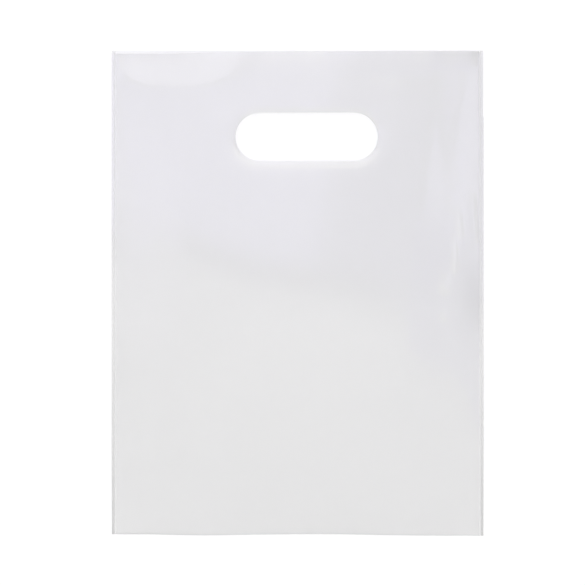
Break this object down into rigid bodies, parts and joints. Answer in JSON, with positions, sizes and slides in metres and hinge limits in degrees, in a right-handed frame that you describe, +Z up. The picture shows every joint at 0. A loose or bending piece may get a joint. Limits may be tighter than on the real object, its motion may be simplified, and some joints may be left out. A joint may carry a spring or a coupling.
{
  "type": "plastic carrier bag",
  "caption": "Flat carrier bag of thin clear film with a folded bottom, welded sides, an open mouth and a die-cut hand slot.",
  "frame": {"origin": "under the middle of the bag's outline, on the surface that it lies on", "axes": "+X across the bag, to the right as seen from the front; +Y from the bottom fold to the mouth; +Z up, out of the front wall"},
  "size_m": [0.23, 0.3, 0.0102],
  "materials": {
    "film": "clear film with a faint milky haze and a gloss finish"
  },
  "bodies": {
    "root": {"bag": "film"}
  },
  "joints": []
}
